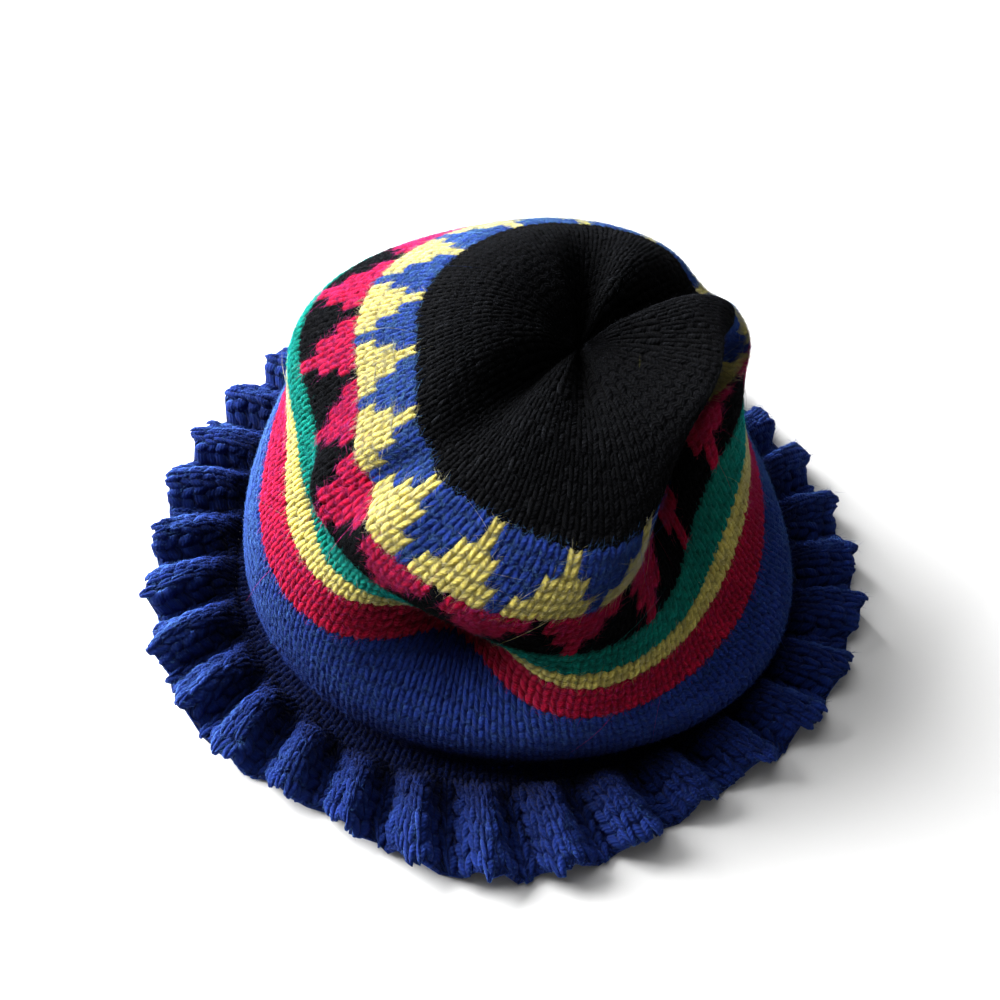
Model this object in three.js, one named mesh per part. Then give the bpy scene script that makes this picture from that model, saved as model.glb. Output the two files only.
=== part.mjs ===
// Knit hat with a ruffled brim, lying slumped on a flat surface as it rests by itself.
// Millimetres, +Z up. The origin is the middle of the base and the front faces -Y.
// The hat is a tube of stocking stitch, knitted upwards from its ruffle in seven sections of
// yarn and gathered at the crown. One function gives the cloth's outside, and every section
// takes its own stretch of it, so the sections line up through each dent and fold.
import * as THREE from 'three';

// Driving dimensions
const BODY_RADIUS = 97; // outside of the plain blue body, above the brim
const RUFFLE_WIDTH = 33; // how far the ruffle's edge reaches past the body, between its bends
const HAT_HEIGHT = 116; // from the surface that the hat rests on to the top of the crown
const WALL = 2.6; // thickness of the plain knitting
const RUFFLE_WALL = 4; // thickness of the ruffle's chunkier knitting
const FLUTE_HEIGHT = 13; // rise of each flute of the ruffle over the valleys beside it
const FLUTE_REACH = 4; // how far a flute's tip stands out past the valleys
const FLUTE_SPREAD = 0.3; // share of its rise and reach that the smallest flute lacks
const LOBES = 32; // flutes of the ruffle
const SEAM_GAP = 0.3; // clearance between two neighbouring sections
const BRIM_RADIUS = BODY_RADIUS + RUFFLE_WIDTH;

// Directions, in degrees counted from +X towards +Y
const LEAN_TURN = 292; // where the slumped top hangs lowest
const FLUTE_TURN = 266; // the middle of one flute
const FLUTE_SWIRL = 3; // how far a flute turns on its way out
const FLUTE_SLANT = 40; // lean of a flute to its steep side, where a whole flute is 360
const FLUTE_RHYTHM = 137; // step of the pattern that sets the flutes' sizes, from one to the next

// Fineness of the facets
const AROUND = 64; // facets round the hat
const FLUTE_FACETS = 6; // facets across one flute

// The knitted sections from the brim up. Rounds are counted on the real hat.
const YARNS = {
  royalBlue: { color: 0x2c469e, roughness: 0.95, metalness: 0 },
  red: { color: 0xd02848, roughness: 0.95, metalness: 0 },
  yellow: { color: 0xeee07a, roughness: 0.95, metalness: 0 },
  green: { color: 0x0e8a72, roughness: 0.95, metalness: 0 },
  black: { color: 0x1c1d20, roughness: 0.97, metalness: 0 },
};
const KNITTING = [
  { name: 'body', rounds: 13, steps: 6, yarn: 'royalBlue' },
  { name: 'red_stripe', rounds: 4, steps: 3, yarn: 'red' },
  { name: 'yellow_stripe', rounds: 2, steps: 1, yarn: 'yellow' },
  { name: 'green_stripe', rounds: 3, steps: 2, yarn: 'green' },
  { name: 'red_black_band', rounds: 6, steps: 3, yarn: 'red' },
  { name: 'yellow_blue_band', rounds: 6, steps: 3, yarn: 'yellow' },
  { name: 'crown', rounds: 16, steps: 8, yarn: 'black' },
];

// Plain sections of the cloth. "along" is the share of the way from brim to gather. Radius,
// right and back are shares of BODY_RADIUS, height and tilt are shares of HAT_HEIGHT.
const SECTIONS = [
  { along: 0.00, radius: 1.02, height: 0.04, right: 0.00, back: 0.00, tilt: 0.00 },
  { along: 0.05, radius: 0.94, height: 0.06, right: 0.00, back: 0.00, tilt: 0.00 },
  { along: 0.12, radius: 0.98, height: 0.17, right: 0.00, back: 0.00, tilt: 0.03 },
  { along: 0.19, radius: 0.97, height: 0.29, right: 0.00, back: 0.00, tilt: 0.08 },
  { along: 0.26, radius: 0.93, height: 0.39, right: 0.00, back: 0.00, tilt: 0.14 },
  { along: 0.34, radius: 0.87, height: 0.47, right: 0.03, back: 0.00, tilt: 0.16 },
  { along: 0.44, radius: 0.80, height: 0.57, right: 0.08, back: 0.02, tilt: 0.16 },
  { along: 0.56, radius: 0.73, height: 0.71, right: 0.16, back: 0.04, tilt: 0.13 },
  { along: 0.64, radius: 0.67, height: 0.79, right: 0.24, back: 0.04, tilt: 0.12 },
  { along: 0.69, radius: 0.60, height: 0.84, right: 0.27, back: 0.04, tilt: 0.11 },
  { along: 0.75, radius: 0.50, height: 0.89, right: 0.28, back: 0.05, tilt: 0.10 },
  { along: 0.84, radius: 0.34, height: 0.93, right: 0.28, back: 0.09, tilt: 0.07 },
  { along: 0.93, radius: 0.16, height: 0.90, right: 0.27, back: 0.14, tilt: 0.04 },
  { along: 1.00, radius: 0.02, height: 0.82, right: 0.26, back: 0.17, tilt: 0.00 },
];

// Dents, bulges and gathers. A fold is deepest at its turn and share along, and fades over
// "wide" degrees and "long" share. Out is a share of BODY_RADIUS, up a share of HAT_HEIGHT.
const FOLDS = [
  { name: 'front crease', turn: 256, along: 0.30, wide: 17, long: 0.09, out: -0.34, up: 0.00 },
  { name: 'crease lift', turn: 243, along: 0.38, wide: 24, long: 0.16, out: -0.02, up: 0.09 },
  { name: 'left rise', turn: 211, along: 0.33, wide: 28, long: 0.14, out: 0.02, up: 0.06 },
  { name: 'left flat', turn: 184, along: 0.46, wide: 26, long: 0.28, out: -0.10, up: 0.03 },
  { name: 'front belly', turn: 249, along: 0.55, wide: 40, long: 0.11, out: 0.14, up: 0.00 },
  { name: 'front lobe', turn: 287, along: 0.32, wide: 24, long: 0.16, out: 0.07, up: 0.05 },
  { name: 'crown front', turn: 276, along: 0.66, wide: 24, long: 0.12, out: 0.04, up: -0.02 },
  { name: 'crown corner', turn: 212, along: 0.66, wide: 14, long: 0.08, out: 0.03, up: 0.00 },
  { name: 'back left', turn: 128, along: 0.43, wide: 45, long: 0.15, out: 0.09, up: 0.00 },
  { name: 'left overhang', turn: 148, along: 0.41, wide: 28, long: 0.10, out: 0.09, up: -0.02 },
  { name: 'left tuck', turn: 158, along: 0.30, wide: 26, long: 0.10, out: -0.07, up: 0.00 },
  { name: 'right bulge', turn: 325, along: 0.16, wide: 35, long: 0.10, out: 0.14, up: 0.00 },
  { name: 'right hollow', turn: 324, along: 0.61, wide: 26, long: 0.11, out: -0.40, up: 0.00 },
  { name: 'right slope', turn: 338, along: 0.47, wide: 24, long: 0.10, out: -0.12, up: 0.00 },
  { name: 'right rise', turn: 0, along: 0.51, wide: 30, long: 0.11, out: 0.00, up: 0.19 },
  { name: 'right puff', turn: 336, along: 0.75, wide: 34, long: 0.10, out: 0.05, up: 0.10 },
  { name: 'lobe crease', turn: 340, along: 0.65, wide: 34, long: 0.04, out: -0.10, up: 0.00 },
  { name: 'lobe underside', turn: 350, along: 0.67, wide: 18, long: 0.07, out: -0.18, up: 0.03 },
  { name: 'right lobe', turn: 14, along: 0.75, wide: 20, long: 0.12, out: -0.04, up: 0.08 },
  { name: 'back valley', turn: 88, along: 0.92, wide: 14, long: 0.14, out: 0.00, up: -0.10 },
  { name: 'notch valley', turn: 41, along: 0.83, wide: 11, long: 0.18, out: -0.05, up: -0.13 },
  { name: 'left valley', turn: 215, along: 0.88, wide: 14, long: 0.16, out: 0.00, up: -0.09 },
  { name: 'front valley', turn: 270, along: 0.94, wide: 14, long: 0.10, out: 0.00, up: -0.05 },
];

// Where the ruffle's edge bends in or out, and where it lifts off the surface. Out is a share
// of BRIM_RADIUS and up a share of HAT_HEIGHT.
const BRIM_BENDS = [
  { name: 'left', turn: 170, wide: 28, out: -0.04, up: 0.03 },
  { name: 'front left', turn: 236, wide: 16, out: -0.05, up: 0.00 },
  { name: 'front', turn: 264, wide: 14, out: 0.02, up: 0.00 },
  { name: 'front right', turn: 303, wide: 16, out: -0.05, up: 0.00 },
  { name: 'back right', turn: 26, wide: 32, out: -0.08, up: 0.00 },
];

// Profile of the ruffle from its root to its edge: drop is the share of the root's height that
// is left, and flute the share of FLUTE_HEIGHT that a flute has there.
const RUFFLE_STEPS = [
  { out: 0.00, drop: 1.00, flute: 0.05 },
  { out: 0.16, drop: 0.60, flute: 0.70 },
  { out: 0.48, drop: 0.00, flute: 1.00 },
  { out: 1.00, drop: 0.00, flute: 0.70 },
];

const radians = THREE.MathUtils.degToRad;

// Signed difference of two directions, between -180 and 180 degrees
function turnBetween(from, to) {
  return THREE.MathUtils.euclideanModulo(to - from + 180, 360) - 180;
}

// A fading bump: 1 in the middle, 1/e one width away
function fade(distance, width) {
  return Math.exp(-((distance / width) ** 2));
}

// Value of one column of SECTIONS at a share along, on a smooth curve through its rows
function sectionValue(column, along) {
  let row = 0;
  while (row < SECTIONS.length - 2 && along > SECTIONS[row + 1].along) row += 1;
  const slope = (index) => {
    const before = SECTIONS[Math.max(index - 1, 0)];
    const after = SECTIONS[Math.min(index + 1, SECTIONS.length - 1)];
    return (after[column] - before[column]) / (after.along - before.along);
  };
  const start = SECTIONS[row];
  const end = SECTIONS[row + 1];
  const span = end.along - start.along;
  const t = (along - start.along) / span;
  const values = (2 * t ** 3 - 3 * t ** 2 + 1) * start[column] + (3 * t ** 2 - 2 * t ** 3) * end[column];
  const slopes = (t ** 3 - 2 * t ** 2 + t) * slope(row) + (t ** 3 - t ** 2) * slope(row + 1);
  return values + slopes * span;
}

// A point on the outside of the cloth, with or without its folds
function clothPoint(turn, along, folded = true) {
  let radius = sectionValue('radius', along) * BODY_RADIUS;
  let height = sectionValue('height', along) * HAT_HEIGHT;
  height -= sectionValue('tilt', along) * HAT_HEIGHT * Math.cos(radians(turn - LEAN_TURN));
  if (folded) {
    for (const fold of FOLDS) {
      const share = fade(turnBetween(fold.turn, turn), fold.wide) * fade(along - fold.along, fold.long);
      radius += share * fold.out * BODY_RADIUS;
      height += share * fold.up * HAT_HEIGHT;
    }
  }
  const angle = radians(turn);
  return new THREE.Vector3(
    sectionValue('right', along) * BODY_RADIUS + radius * Math.cos(angle),
    sectionValue('back', along) * BODY_RADIUS + radius * Math.sin(angle),
    height,
  );
}

// Direction up the cloth, towards the gather
function clothRise(turn, along, folded = true) {
  const step = 0.004;
  const above = clothPoint(turn, Math.min(along + step, 1), folded);
  const below = clothPoint(turn, Math.max(along - step, 0), folded);
  return above.sub(below).normalize();
}

// Direction out of the cloth
function clothNormal(turn, along, folded = true) {
  const step = 1;
  const left = clothPoint(turn + step, along, folded);
  const right = clothPoint(turn - step, along, folded);
  return left.sub(right).cross(clothRise(turn, along, folded)).normalize();
}

// Direction through the wall: halfway between the folded and the plain cloth's, so that the
// inside follows each fold and never crosses itself in a tight one
function wallDirection(turn, along) {
  return clothNormal(turn, along).add(clothNormal(turn, along, false)).normalize();
}

// A closed ring of points round the hat at one share along, at a depth into the wall, and
// slid along the cloth by "shift"
function clothRing(along, depth, shift) {
  const ring = [];
  for (let i = 0; i < AROUND; i += 1) {
    const turn = (360 * i) / AROUND;
    const point = clothPoint(turn, along);
    point.addScaledVector(clothRise(turn, along), shift);
    ring.push(point.addScaledVector(wallDirection(turn, along), -depth));
  }
  return ring;
}

// A closed mesh over a stack of rings. An open stack is closed by joining its last ring to
// its first, and a capped one by a fan to the middle of each end ring. The facets after the
// foot ring are split along their other diagonal, so that the lower end of one section lies
// flat against the upper end of the section below it.
function stackRings(rings, foot, capped) {
  const count = rings[0].length;
  const positions = rings.flat().flatMap((point) => point.toArray());
  const index = [];
  const joined = capped ? rings.length - 1 : rings.length;
  for (let j = 0; j < joined; j += 1) {
    const lower = j * count;
    const upper = ((j + 1) % rings.length) * count;
    for (let i = 0; i < count; i += 1) {
      const next = (i + 1) % count;
      if (j === foot) {
        index.push(lower + i, lower + next, upper + i);
        index.push(lower + next, upper + next, upper + i);
      } else {
        index.push(lower + i, lower + next, upper + next);
        index.push(lower + i, upper + next, upper + i);
      }
    }
  }
  if (capped) {
    const middle = (ring) => {
      const sum = new THREE.Vector3();
      ring.forEach((point) => sum.add(point));
      return sum.divideScalar(count);
    };
    const first = rings.length * count;
    const last = first + 1;
    const top = (rings.length - 1) * count;
    positions.push(...middle(rings[0]).toArray(), ...middle(rings[rings.length - 1]).toArray());
    for (let i = 0; i < count; i += 1) {
      const next = (i + 1) % count;
      index.push(first, next, i);
      index.push(top + i, top + next, last);
    }
  }
  const geometry = new THREE.BufferGeometry();
  geometry.setAttribute('position', new THREE.Float32BufferAttribute(positions, 3));
  geometry.setIndex(index);
  geometry.computeVertexNormals();
  return geometry;
}

// A section of the tube of knitting, hollow, between two shares along. The last one closes
// at the gather.
function knittedSection(from, to, steps) {
  const closes = to > 1 - 1e-6;
  const outside = [];
  const inside = [];
  for (let step = 0; step <= steps; step += 1) {
    const along = from + ((to - from) * step) / steps;
    let shift = 0;
    if (step === 0) shift = SEAM_GAP / 2;
    if (step === steps && !closes) shift = -SEAM_GAP / 2;
    outside.push(clothRing(along, 0, shift));
    inside.push(clothRing(along, WALL, shift));
  }
  if (closes) return stackRings([...inside.reverse(), ...outside], steps, true);
  return stackRings([...outside, ...inside.reverse()], 2 * steps + 1, false);
}

// How much of a flute stands up at a direction: 1 on the ridge of the largest, 0 in the flat
// valleys. Each flute is steep on one side, and no two neighbours are the same size.
function fluteShare(turn) {
  const place = (LOBES * (turn - FLUTE_TURN)) / 360;
  const phase = 360 * (place - Math.round(place));
  const number = THREE.MathUtils.euclideanModulo(Math.round(place), LOBES);
  const slant = FLUTE_SLANT * Math.sin(radians(phase / 2)) ** 2;
  const ridge = Math.cos(radians(phase + slant));
  const size = 1 - (FLUTE_SPREAD * (1 + Math.sin(radians(FLUTE_RHYTHM * number)))) / 2;
  return size * Math.max(0, (ridge + 0.7) / 1.7);
}

// A point on the ruffle, on its top or its underside
function rufflePoint(turn, step, top) {
  const root = clothPoint(turn, 0);
  const rootRadius = Math.hypot(root.x, root.y) + SEAM_GAP / 2;
  let edgeRadius = BRIM_RADIUS;
  let lift = 0;
  for (const bend of BRIM_BENDS) {
    const share = fade(turnBetween(bend.turn, turn), bend.wide);
    edgeRadius += share * bend.out * BRIM_RADIUS;
    lift += share * bend.up * HAT_HEIGHT * step.out ** 2;
  }
  const flute = fluteShare(turn);
  edgeRadius += flute * FLUTE_REACH;
  const radius = THREE.MathUtils.lerp(rootRadius, edgeRadius, step.out);
  const underside = (root.z - WALL) * step.drop + flute * step.flute * FLUTE_HEIGHT + lift;
  const angle = radians(turn + FLUTE_SWIRL * step.out);
  return new THREE.Vector3(
    radius * Math.cos(angle),
    radius * Math.sin(angle),
    top ? underside + RUFFLE_WALL : underside,
  );
}

// The fluted ruffle: one ring of wavy knitting that lies on its valleys
function ruffle() {
  const facets = LOBES * FLUTE_FACETS;
  const ring = (step, top) => {
    const points = [];
    for (let i = 0; i < facets; i += 1) {
      points.push(rufflePoint(FLUTE_TURN + (360 * i) / facets, step, top));
    }
    return points;
  };
  const under = RUFFLE_STEPS.map((step) => ring(step, false));
  const over = RUFFLE_STEPS.map((step) => ring(step, true));
  return stackRings([...under, ...over.reverse()], -1, false);
}

function piece(name, geometry, yarn) {
  const mesh = new THREE.Mesh(geometry, new THREE.MeshStandardMaterial(YARNS[yarn]));
  mesh.name = name;
  return mesh;
}

const hat = new THREE.Group();
hat.add(piece('ruffle', ruffle(), 'royalBlue'));

const allRounds = KNITTING.reduce((sum, section) => sum + section.rounds, 0);
let knitted = 0;
for (const section of KNITTING) {
  const from = knitted / allRounds;
  knitted += section.rounds;
  hat.add(piece(section.name, knittedSection(from, knitted / allRounds, section.steps), section.yarn));
}

// The ruffle bends in and out, so the hat is moved to put the middle of its base on the origin
const box = new THREE.Box3().setFromObject(hat);
hat.position.set(-(box.min.x + box.max.x) / 2, -(box.min.y + box.max.y) / 2, 0);

export default hat;
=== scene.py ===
# %% [markdown]
# # A knit hat with a ruffled brim
#
# The frame gives the hat's plain walls at their real size. This lesson knits over them: every
# stitch that shows is a pair of small yarn legs, laid out flat as a chart and then wrapped
# onto the slumped form. A texture could fake the stitches, but knitting is lumpy enough that
# its outline and its shadows give a flat surface away, so real geometry was chosen.

# %% The frame
import math
from collections import namedtuple

import bmesh
import bpy
import numpy as np
from mathutils import Matrix, Vector
from mathutils.bvhtree import BVHTree


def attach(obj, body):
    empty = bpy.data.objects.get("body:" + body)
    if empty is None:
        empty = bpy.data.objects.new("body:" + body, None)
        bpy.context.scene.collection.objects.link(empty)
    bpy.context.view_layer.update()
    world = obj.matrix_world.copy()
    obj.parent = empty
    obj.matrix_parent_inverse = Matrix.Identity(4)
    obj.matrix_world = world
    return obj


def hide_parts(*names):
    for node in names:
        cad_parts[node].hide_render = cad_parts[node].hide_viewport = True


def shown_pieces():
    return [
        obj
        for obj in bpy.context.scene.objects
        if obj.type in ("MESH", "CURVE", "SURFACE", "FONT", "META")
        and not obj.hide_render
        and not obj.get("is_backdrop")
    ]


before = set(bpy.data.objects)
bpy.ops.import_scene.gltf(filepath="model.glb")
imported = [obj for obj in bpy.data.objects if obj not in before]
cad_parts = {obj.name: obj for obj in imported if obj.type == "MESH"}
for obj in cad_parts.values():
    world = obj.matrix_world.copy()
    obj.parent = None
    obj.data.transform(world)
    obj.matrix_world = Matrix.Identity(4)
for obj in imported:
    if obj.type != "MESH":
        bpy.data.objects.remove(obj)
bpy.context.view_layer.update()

print("frame nodes:", ", ".join(sorted(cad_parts)))

# %% [markdown]
# ## The slumped form
#
# A soft hat that lies on a table is a tube with dents. It could be sculpted by hand or
# dropped by a cloth simulation, but then stitches would have nothing to follow. Here one
# function gives the cloth's outside for a direction round the hat and a share of the way up
# from the brim, so that any small thing can be placed "on the cloth" by those two numbers.
# The tables are the same as the walls': a row for each plain section, and one for each fold.
# Only the table of small creases is new here.

# %% Sizes and tables of the form
BODY_RADIUS = 0.097
HAT_HEIGHT = 0.116
RUFFLE_WIDTH = 0.033
BRIM_RADIUS = BODY_RADIUS + RUFFLE_WIDTH
WALL = 0.0026
RUFFLE_WALL = 0.004
FLUTE_HEIGHT = 0.013
FLUTE_REACH = 0.004
FLUTE_SPREAD = 0.3
LOBES = 32
SEAM_GAP = 0.0003
LEAN_TURN = 292
FLUTE_TURN = 266
FLUTE_SWIRL = 3
FLUTE_SLANT = 40
FLUTE_BREADTH = 0.7
FLUTE_RHYTHM = 137
ROUNDS = 50

SECTION_COLUMNS = [(name, float) for name in ("along", "radius", "height", "right", "back", "tilt")]
SECTIONS = np.array([
    (0.00, 1.02, 0.04, 0.00, 0.00, 0.00),
    (0.05, 0.94, 0.06, 0.00, 0.00, 0.00),
    (0.12, 0.98, 0.17, 0.00, 0.00, 0.03),
    (0.19, 0.97, 0.29, 0.00, 0.00, 0.08),
    (0.26, 0.93, 0.39, 0.00, 0.00, 0.14),
    (0.34, 0.87, 0.47, 0.03, 0.00, 0.16),
    (0.44, 0.80, 0.57, 0.08, 0.02, 0.16),
    (0.56, 0.73, 0.71, 0.16, 0.04, 0.13),
    (0.64, 0.67, 0.79, 0.24, 0.04, 0.12),
    (0.69, 0.60, 0.84, 0.27, 0.04, 0.11),
    (0.75, 0.50, 0.89, 0.28, 0.05, 0.10),
    (0.84, 0.34, 0.93, 0.28, 0.09, 0.07),
    (0.93, 0.16, 0.90, 0.27, 0.14, 0.04),
    (1.00, 0.02, 0.82, 0.26, 0.17, 0.00),
], dtype=SECTION_COLUMNS)

FOLD_COLUMNS = [("name", "U16")]
FOLD_COLUMNS += [(name, float) for name in ("turn", "along", "wide", "long", "out", "up")]
FOLDS = np.array([
    ("front crease", 256, 0.30, 17, 0.09, -0.34, 0.00),
    ("crease lift", 243, 0.38, 24, 0.16, -0.02, 0.09),
    ("left rise", 211, 0.33, 28, 0.14, 0.02, 0.06),
    ("left flat", 184, 0.46, 26, 0.28, -0.10, 0.03),
    ("front belly", 249, 0.55, 40, 0.11, 0.14, 0.00),
    ("front lobe", 287, 0.32, 24, 0.16, 0.07, 0.05),
    ("crown front", 276, 0.66, 24, 0.12, 0.04, -0.02),
    ("crown corner", 212, 0.66, 14, 0.08, 0.03, 0.00),
    ("back left", 128, 0.43, 45, 0.15, 0.09, 0.00),
    ("left overhang", 148, 0.41, 28, 0.10, 0.09, -0.02),
    ("left tuck", 158, 0.30, 26, 0.10, -0.07, 0.00),
    ("right bulge", 325, 0.16, 35, 0.10, 0.14, 0.00),
    ("right hollow", 324, 0.61, 26, 0.11, -0.40, 0.00),
    ("right slope", 338, 0.47, 24, 0.10, -0.12, 0.00),
    ("right rise", 0, 0.51, 30, 0.11, 0.00, 0.19),
    ("right puff", 336, 0.75, 34, 0.10, 0.05, 0.10),
    ("lobe crease", 340, 0.65, 34, 0.04, -0.10, 0.00),
    ("lobe underside", 350, 0.67, 18, 0.07, -0.18, 0.03),
    ("right lobe", 14, 0.75, 20, 0.12, -0.04, 0.08),
    ("back valley", 88, 0.92, 14, 0.14, 0.00, -0.10),
    ("notch valley", 41, 0.83, 11, 0.18, -0.05, -0.13),
    ("left valley", 215, 0.88, 14, 0.16, 0.00, -0.09),
    ("front valley", 270, 0.94, 14, 0.10, 0.00, -0.05),
], dtype=FOLD_COLUMNS)

# Small creases on the left of the bands, too fine for the plain walls
CREASES = np.array([
    ("band crease", 213, 0.60, 6, 0.09, -0.080, 0.00),
    ("band ridge", 224, 0.58, 7, 0.09, 0.025, 0.01),
    ("left lip", 205, 0.475, 11, 0.045, 0.060, 0.00),
    ("left groove", 206, 0.405, 12, 0.035, -0.050, 0.00),
], dtype=FOLD_COLUMNS)
CLOTH_FOLDS = np.concatenate([FOLDS, CREASES])

BEND_COLUMNS = [("name", "U16"), ("turn", float), ("wide", float), ("out", float), ("up", float)]
BRIM_BENDS = np.array([
    ("left", 170, 28, -0.04, 0.03),
    ("front left", 236, 16, -0.05, 0.00),
    ("front", 264, 14, 0.02, 0.00),
    ("front right", 303, 16, -0.05, 0.00),
    ("back right", 26, 32, -0.08, 0.00),
], dtype=BEND_COLUMNS)

RUFFLE_STEPS = np.array([
    (0.00, 1.00, 0.05),
    (0.16, 0.60, 0.70),
    (0.48, 0.00, 1.00),
    (1.00, 0.00, 0.70),
], dtype=[("out", float), ("drop", float), ("flute", float)])
print(len(SECTIONS), "plain sections,", len(BRIM_BENDS), "bends")
print(len(FOLDS), "folds and", len(CREASES), "creases")


# %% Reading the tables
def turn_between(start, end):
    """Signed difference of two directions in degrees, from -180 to 180."""
    return (end - start + 180) % 360 - 180


def table_value(table, key, column, place):
    """A column of a table at a place along its key, on a smooth curve through the rows."""
    keys = table[key]
    values = table[column]
    rows = np.arange(len(keys))
    before = np.maximum(rows - 1, 0)
    after = np.minimum(rows + 1, len(keys) - 1)
    slopes = (values[after] - values[before]) / (keys[after] - keys[before])
    row = np.clip(np.searchsorted(keys, place) - 1, 0, len(keys) - 2)
    span = keys[row + 1] - keys[row]
    t = (place - keys[row]) / span
    level = (2 * t**3 - 3 * t**2 + 1) * values[row] + (3 * t**2 - 2 * t**3) * values[row + 1]
    lean = (t**3 - 2 * t**2 + t) * slopes[row] + (t**3 - t**2) * slopes[row + 1]
    return level + lean * span


# %% A point on the cloth
def place_round(turn, radius, right, back, height):
    angle = np.radians(turn)
    return np.stack([right + radius * np.cos(angle), back + radius * np.sin(angle), height], axis=-1)


def cloth_point(turn, along, folded=True):
    """Points on the cloth's outside for directions in degrees and shares of the way up."""
    radius = table_value(SECTIONS, "along", "radius", along) * BODY_RADIUS
    height = table_value(SECTIONS, "along", "height", along) * HAT_HEIGHT
    tilt = table_value(SECTIONS, "along", "tilt", along) * HAT_HEIGHT
    height = height - tilt * np.cos(np.radians(turn - LEAN_TURN))
    if folded:
        for fold in CLOTH_FOLDS:
            near = (turn_between(fold["turn"], turn) / fold["wide"]) ** 2
            near = near + ((along - fold["along"]) / fold["long"]) ** 2
            radius = radius + np.exp(-near) * fold["out"] * BODY_RADIUS
            height = height + np.exp(-near) * fold["up"] * HAT_HEIGHT
    right = table_value(SECTIONS, "along", "right", along) * BODY_RADIUS
    back = table_value(SECTIONS, "along", "back", along) * BODY_RADIUS
    return place_round(turn, radius, right, back, height)


def unit(vectors):
    return vectors / np.maximum(np.linalg.norm(vectors, axis=-1, keepdims=True), 1e-12)


def cloth_normal(turn, along, folded=True):
    step_along = 0.004
    step_turn = 1.0
    rise = cloth_point(turn, np.minimum(along + step_along, 1), folded)
    rise = rise - cloth_point(turn, np.maximum(along - step_along, 0), folded)
    side = cloth_point(turn + step_turn, along, folded) - cloth_point(turn - step_turn, along, folded)
    return unit(np.cross(side, rise))


def wall_direction(turn, along):
    """Out through the wall, halfway between the folded and the plain cloth's directions."""
    return unit(cloth_normal(turn, along) + cloth_normal(turn, along, False))


# %% A point on the ruffle
FLUTE_ROUNDNESS = 0.6
TUCK = 0.030
RIPPLES = [(53, 150), (87, -240)]
RIPPLE_HEIGHT = 0.0007
EDGE_RIPPLES = 71
RIPPLE_REACH = 0.0010


def flute_share(turn):
    """How much of a flute stands up at a direction: each has its own size and a steep side."""
    place = LOBES * (turn - FLUTE_TURN) / 360
    phase = 360 * (place - np.round(place))
    slant = FLUTE_SLANT * np.sin(np.radians(phase / 2)) ** 2
    ridge = np.cos(np.radians(phase + slant))
    size = 1 - FLUTE_SPREAD * (1 + np.sin(np.radians(FLUTE_RHYTHM * (np.round(place) % LOBES)))) / 2
    return size * np.maximum(0, (ridge + FLUTE_BREADTH) / (1 + FLUTE_BREADTH))


def ruffle_point(turn, out, depth=0.0):
    """Points on the ruffle's top for directions and shares of the way out to its edge."""
    root = cloth_point(turn, np.zeros_like(turn))
    root_radius = np.hypot(root[..., 0], root[..., 1]) + SEAM_GAP / 2
    edge = np.full_like(turn, BRIM_RADIUS)
    lift = np.zeros_like(turn)
    for bend in BRIM_BENDS:
        near = np.exp(-((turn_between(bend["turn"], turn) / bend["wide"]) ** 2))
        edge = edge + near * bend["out"] * BRIM_RADIUS
        lift = lift + near * bend["up"] * HAT_HEIGHT * out**2
    flute = flute_share(turn)
    edge = edge + flute * FLUTE_REACH
    shown = np.maximum(out, 0)
    drop = np.maximum(0, table_value(RUFFLE_STEPS, "out", "drop", shown))
    rise = table_value(RUFFLE_STEPS, "out", "flute", shown) * FLUTE_HEIGHT
    under = (root[..., 2] - WALL) * drop + flute**FLUTE_ROUNDNESS * rise + lift
    radius = root_radius + (edge - root_radius) * out
    under = under + np.minimum(out, 0) * TUCK
    for waves, slant in RIPPLES:
        under = under + np.sin(np.radians(waves * turn + slant * out)) * RIPPLE_HEIGHT * shown
    radius = radius + np.sin(np.radians(EDGE_RIPPLES * turn)) * RIPPLE_REACH * shown
    return place_round(turn + FLUTE_SWIRL * out, radius, 0, 0, under + RUFFLE_WALL - depth)


def ruffle_direction(turn, out):
    step_out = 0.02
    step_turn = 0.4
    inward = ruffle_point(turn, out - step_out) - ruffle_point(turn, out + step_out)
    side = ruffle_point(turn + step_turn, out) - ruffle_point(turn - step_turn, out)
    return unit(np.cross(side, inward))


# %% The middle of the base
# The walls were moved to put the middle of the hat's base on the origin, and so is the knitting
WALL_STEPS = LOBES * 6
edge_turns = np.arange(WALL_STEPS) * 360 / WALL_STEPS + FLUTE_TURN
edge_points = ruffle_point(edge_turns, np.ones_like(edge_turns))
MIDDLE = (edge_points.min(axis=0) + edge_points.max(axis=0)) / 2 * np.array([1, 1, 0])
print("the form is moved by", np.round(-MIDDLE * 1000, 2), "mm")
BODY_ROUNDS = 13
body_turns, body_shares = np.meshgrid(np.arange(0, 360, 6.0), np.linspace(0, BODY_ROUNDS / ROUNDS, 7))
body_corner = (cloth_point(body_turns, body_shares) - MIDDLE).reshape(-1, 3).max(axis=0)
print("the body's high corner by the formula", np.round(body_corner * 1000, 1), "mm")

# %% [markdown]
# ## How open each place is, for painted shade
#
# Wool in the bottom of a fold or beside the ruffle's root lies in shade, and fibres all round
# it take the light. The render's own shadows give most of that, and the rest, from hairs too
# fine to model, is painted shade. So rays are sent from a grid of points on the cloth, and the
# share of them that meets no other cloth is kept, and darkens the yarn's colour as painted
# shade. A painted map would do the same, but it would be wrong as soon as a fold moved.

# %% Rays from the cloth
RAYS = 24
RAY_REACH = 0.080
RAY_START = 0.0012
RAY_SIDE = (0.3, 0.5, 0.8)
# Rays that point down count for less, so cloth that faces down gets more painted shade
DOWNWARD_LIGHT = 0.3
# Painted shade beside the seam: how dark it starts, and how far out and up it fades
ROOT_LIGHT = 0.15
ROOT_WIDTH = 0.55
ROOT_RISE = 0.19
CLOTH_STEP = 3.0
CLOTH_ROWS = 81
RUFFLE_STEP = 12
RUFFLE_ROWS = 11


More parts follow.
